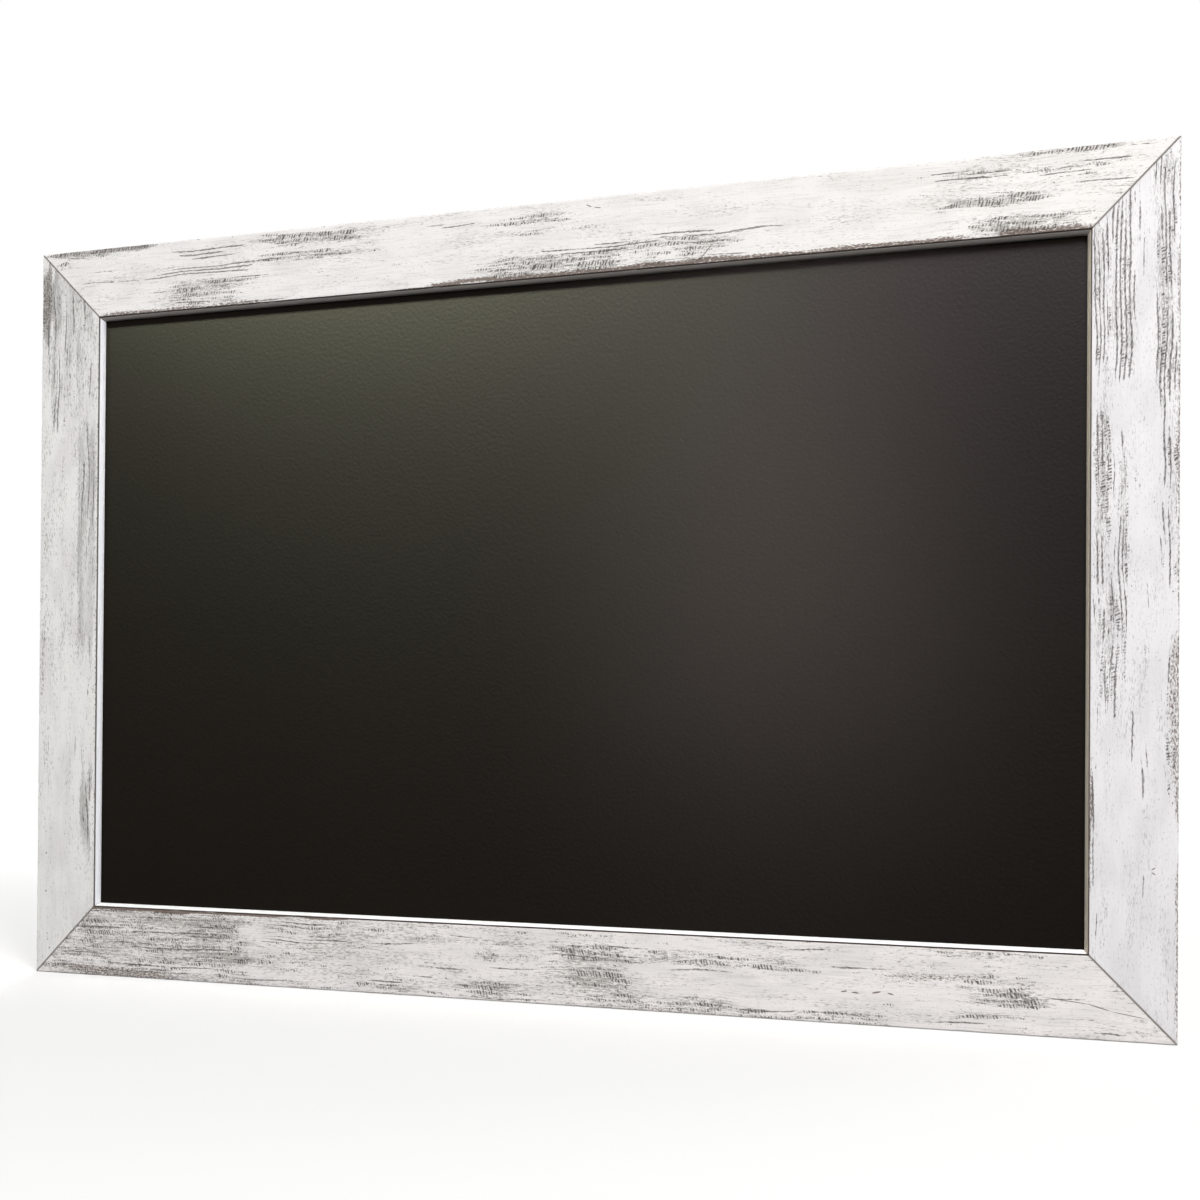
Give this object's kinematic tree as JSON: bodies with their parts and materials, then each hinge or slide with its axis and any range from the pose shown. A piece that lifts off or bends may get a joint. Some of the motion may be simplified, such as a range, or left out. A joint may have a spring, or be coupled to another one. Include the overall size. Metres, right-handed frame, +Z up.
{
  "type": "framed chalkboard",
  "caption": "Landscape framed chalkboard: whitewashed mitred rails round a matte dark writing panel, held from behind by turn buttons, with a hanging ring on each side rail.",
  "frame": {"origin": "middle of the bottom rail's underside, halfway through the rails' thickness", "axes": "+X along the width, towards the right as seen from the writing side; +Y out of the back, so the writing side faces -Y; +Z up"},
  "size_m": [0.9144, 0.0223, 0.6096],
  "materials": {
    "whitewashed_wood": "distressed white paint dry-brushed over grey-brown wood, matte",
    "chalk_coat": "matte charcoal writing coat",
    "fibreboard": "bare pressed fibreboard",
    "zinc_plate": "bright zinc plate",
    "black_rubber": "matte"
  },
  "bodies": {
    "board": {"rail_top": "whitewashed_wood", "rail_bottom": "whitewashed_wood", "rail_left": "whitewashed_wood", "rail_right": "whitewashed_wood", "writing_surface": "chalk_coat", "core_board": "fibreboard", "corner_nail_top_left_outer": "zinc_plate", "corner_nail_top_left_inner": "zinc_plate", "corner_nail_top_right_outer": "zinc_plate", "corner_nail_top_right_inner": "zinc_plate", "corner_nail_bottom_left_outer": "zinc_plate", "corner_nail_bottom_left_inner": "zinc_plate", "corner_nail_bottom_right_outer": "zinc_plate", "corner_nail_bottom_right_inner": "zinc_plate", "button_screw_top_left": "zinc_plate", "button_screw_top_middle": "zinc_plate", "button_screw_top_right": "zinc_plate", "button_screw_bottom_left": "zinc_plate", "button_screw_bottom_middle": "zinc_plate", "button_screw_bottom_right": "zinc_plate", "button_screw_left_upper": "zinc_plate", "button_screw_left_lower": "zinc_plate", "button_screw_right_upper": "zinc_plate", "button_screw_right_lower": "zinc_plate", "hanger_strap_left": "zinc_plate", "hanger_strap_right": "zinc_plate", "strap_screw_left_upper": "zinc_plate", "strap_screw_left_lower": "zinc_plate", "strap_screw_right_upper": "zinc_plate", "strap_screw_right_lower": "zinc_plate", "bumper_top_left": "black_rubber", "bumper_top_right": "black_rubber", "bumper_bottom_left": "black_rubber", "bumper_bottom_right": "black_rubber"},
    "button_top_left": {"turn_button_top_left": "zinc_plate"},
    "button_top_middle": {"turn_button_top_middle": "zinc_plate"},
    "button_top_right": {"turn_button_top_right": "zinc_plate"},
    "button_bottom_left": {"turn_button_bottom_left": "zinc_plate"},
    "button_bottom_middle": {"turn_button_bottom_middle": "zinc_plate"},
    "button_bottom_right": {"turn_button_bottom_right": "zinc_plate"},
    "button_left_upper": {"turn_button_left_upper": "zinc_plate"},
    "button_left_lower": {"turn_button_left_lower": "zinc_plate"},
    "button_right_upper": {"turn_button_right_upper": "zinc_plate"},
    "button_right_lower": {"turn_button_right_lower": "zinc_plate"},
    "ring_left": {"hanging_ring_left": "zinc_plate"},
    "ring_right": {"hanging_ring_right": "zinc_plate"}
  },
  "joints": [
    {"name": "button_top_left_turn", "type": "hinge", "parent": "board", "child": "button_top_left", "pos_m": [-0.2802, 0.0089, 0.5663], "axis": [0, 1, 0], "continuous": true},
    {"name": "button_top_middle_turn", "type": "hinge", "parent": "board", "child": "button_top_middle", "pos_m": [0, 0.0089, 0.5663], "axis": [0, 1, 0], "continuous": true},
    {"name": "button_top_right_turn", "type": "hinge", "parent": "board", "child": "button_top_right", "pos_m": [0.2802, 0.0089, 0.5663], "axis": [0, 1, 0], "continuous": true},
    {"name": "button_bottom_left_turn", "type": "hinge", "parent": "board", "child": "button_bottom_left", "pos_m": [-0.2802, 0.0089, 0.0433], "axis": [0, 1, 0], "continuous": true},
    {"name": "button_bottom_middle_turn", "type": "hinge", "parent": "board", "child": "button_bottom_middle", "pos_m": [0, 0.0089, 0.0433], "axis": [0, 1, 0], "continuous": true},
    {"name": "button_bottom_right_turn", "type": "hinge", "parent": "board", "child": "button_bottom_right", "pos_m": [0.2802, 0.0089, 0.0433], "axis": [0, 1, 0], "continuous": true},
    {"name": "button_left_upper_turn", "type": "hinge", "parent": "board", "child": "button_left_upper", "pos_m": [-0.4139, 0.0089, 0.4136], "axis": [0, 1, 0], "continuous": true},
    {"name": "button_left_lower_turn", "type": "hinge", "parent": "board", "child": "button_left_lower", "pos_m": [-0.4139, 0.0089, 0.196], "axis": [0, 1, 0], "continuous": true},
    {"name": "button_right_upper_turn", "type": "hinge", "parent": "board", "child": "button_right_upper", "pos_m": [0.4139, 0.0089, 0.4136], "axis": [0, 1, 0], "continuous": true},
    {"name": "button_right_lower_turn", "type": "hinge", "parent": "board", "child": "button_right_lower", "pos_m": [0.4139, 0.0089, 0.196], "axis": [0, 1, 0], "continuous": true},
    {"name": "ring_left_swing", "type": "hinge", "parent": "board", "child": "ring_left", "pos_m": [-0.4287, 0.01065, 0.4896], "axis": [1, 0, 0], "range_deg": [0, 175]},
    {"name": "ring_right_swing", "type": "hinge", "parent": "board", "child": "ring_right", "pos_m": [0.4287, 0.01065, 0.4896], "axis": [1, 0, 0], "range_deg": [0, 175]}
  ]
}
